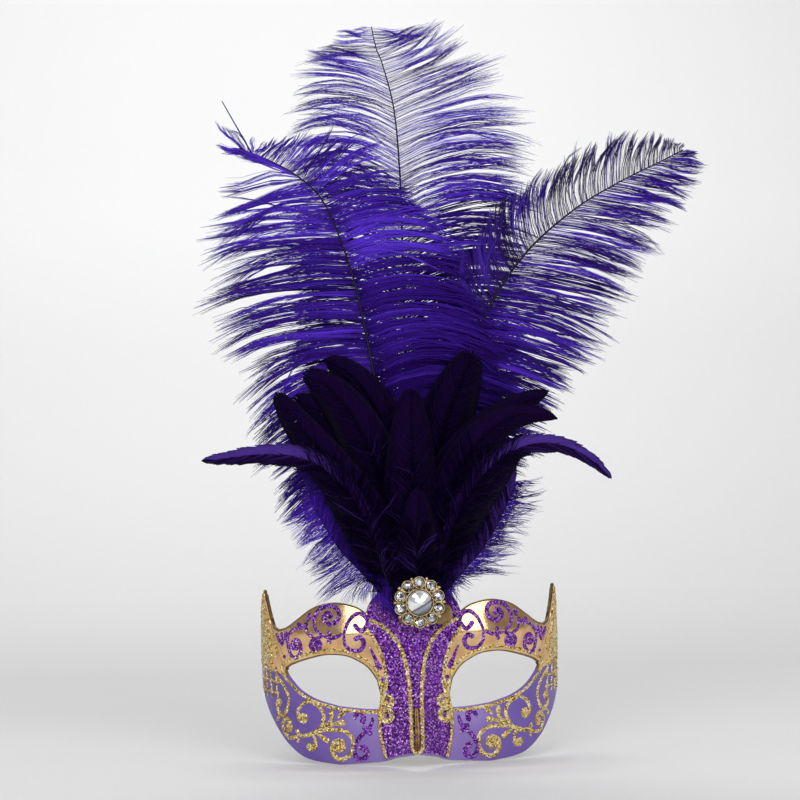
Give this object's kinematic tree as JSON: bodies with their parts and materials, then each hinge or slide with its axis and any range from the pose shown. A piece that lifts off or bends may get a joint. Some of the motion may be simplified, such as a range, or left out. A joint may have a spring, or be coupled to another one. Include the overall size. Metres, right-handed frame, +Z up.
{
  "type": "feathered eye mask",
  "caption": "Carnival half mask with horned temples, gilded brow, glitter scrolls, a stone brooch on the crest and a tall spray of plumes and feathers behind it.",
  "frame": {"origin": "on the inner wall at the nose bridge, where the mask seats on the face", "axes": "+Z up along the spray, the face of the mask looks along -Y, +X to the right of someone who looks at its front"},
  "size_m": [0.3064, 0.0848, 0.4367],
  "materials": {
    "mask": "painted papier-mache, satin purple below and glossy gold leaf above, with glitter ornament",
    "pad": "dull gilt pad",
    "gilt": "cast setting in pale antique gold",
    "stone": "clear cut stone with a silver foil back",
    "plume": "dyed plume barbs, violet blue, soft and slightly glossy",
    "vane": "dyed vane feathers, very dark purple with a soft sheen",
    "down": "dyed fluffy down, violet blue"
  },
  "bodies": {
    "root": {"mask_shell": "mask", "brooch_pad": "pad", "brooch_setting": "gilt", "centre_stone": "stone", "ring_stone_01": "stone", "ring_stone_02": "stone", "ring_stone_03": "stone", "ring_stone_04": "stone", "ring_stone_05": "stone", "ring_stone_06": "stone", "ring_stone_07": "stone", "ring_stone_08": "stone", "ring_stone_09": "stone", "ring_stone_10": "stone", "plume_left": "plume", "plume_centre": "plume", "plume_right": "plume", "vane_feather_01": "vane", "vane_feather_02": "vane", "vane_feather_03": "vane", "vane_feather_04": "vane", "vane_feather_05": "vane", "vane_feather_06": "vane", "vane_feather_07": "vane", "vane_feather_08": "vane", "vane_feather_09": "vane", "vane_feather_10": "vane", "vane_feather_11": "vane", "vane_feather_12": "vane", "vane_feather_13": "vane", "down_left": "down", "down_right": "down"}
  },
  "joints": []
}
